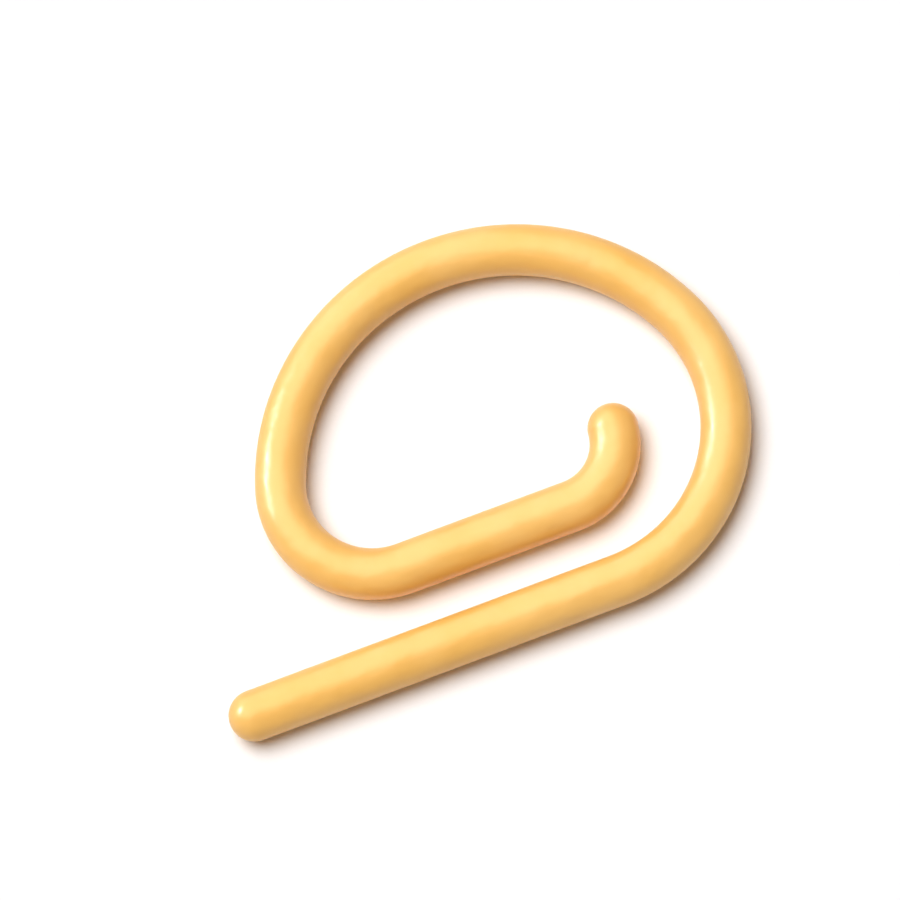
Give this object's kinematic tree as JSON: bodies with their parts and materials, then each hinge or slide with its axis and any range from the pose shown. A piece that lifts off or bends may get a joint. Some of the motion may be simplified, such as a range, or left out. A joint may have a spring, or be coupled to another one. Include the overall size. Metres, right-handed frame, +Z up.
{
  "type": "open stitch marker",
  "caption": "Open stitch marker of spring wire in a smooth nylon coat: a spiral loop with a yarn slot between two parallel legs, a hooked inner end and a round eye for a knitting needle.",
  "frame": {"origin": "on the surface that the marker lies flat on, under the middle of its outline", "axes": "+X along the two straight legs, from the outer leg's free tip towards the heel; +Y from the legs towards the crown; +Z up through the eye"},
  "size_m": [0.0176, 0.0122, 0.0015],
  "materials": {
    "spring_steel": "drawn spring wire, under the coat",
    "nylon_coat": "smooth dipped nylon in warm pale yellow, semi-gloss"
  },
  "bodies": {
    "loop": {"loop_wire": "spring_steel", "loop_coat": "nylon_coat"},
    "leg": {"leg_wire": "spring_steel", "leg_coat": "nylon_coat"}
  },
  "joints": [
    {"name": "leg_flex", "type": "hinge", "parent": "loop", "child": "leg", "pos_m": [0.00805, -0.00055, 0.00075], "axis": [0, 0, 1], "range_deg": [-4, 8], "stiffness_Nm_per_rad": 1}
  ]
}
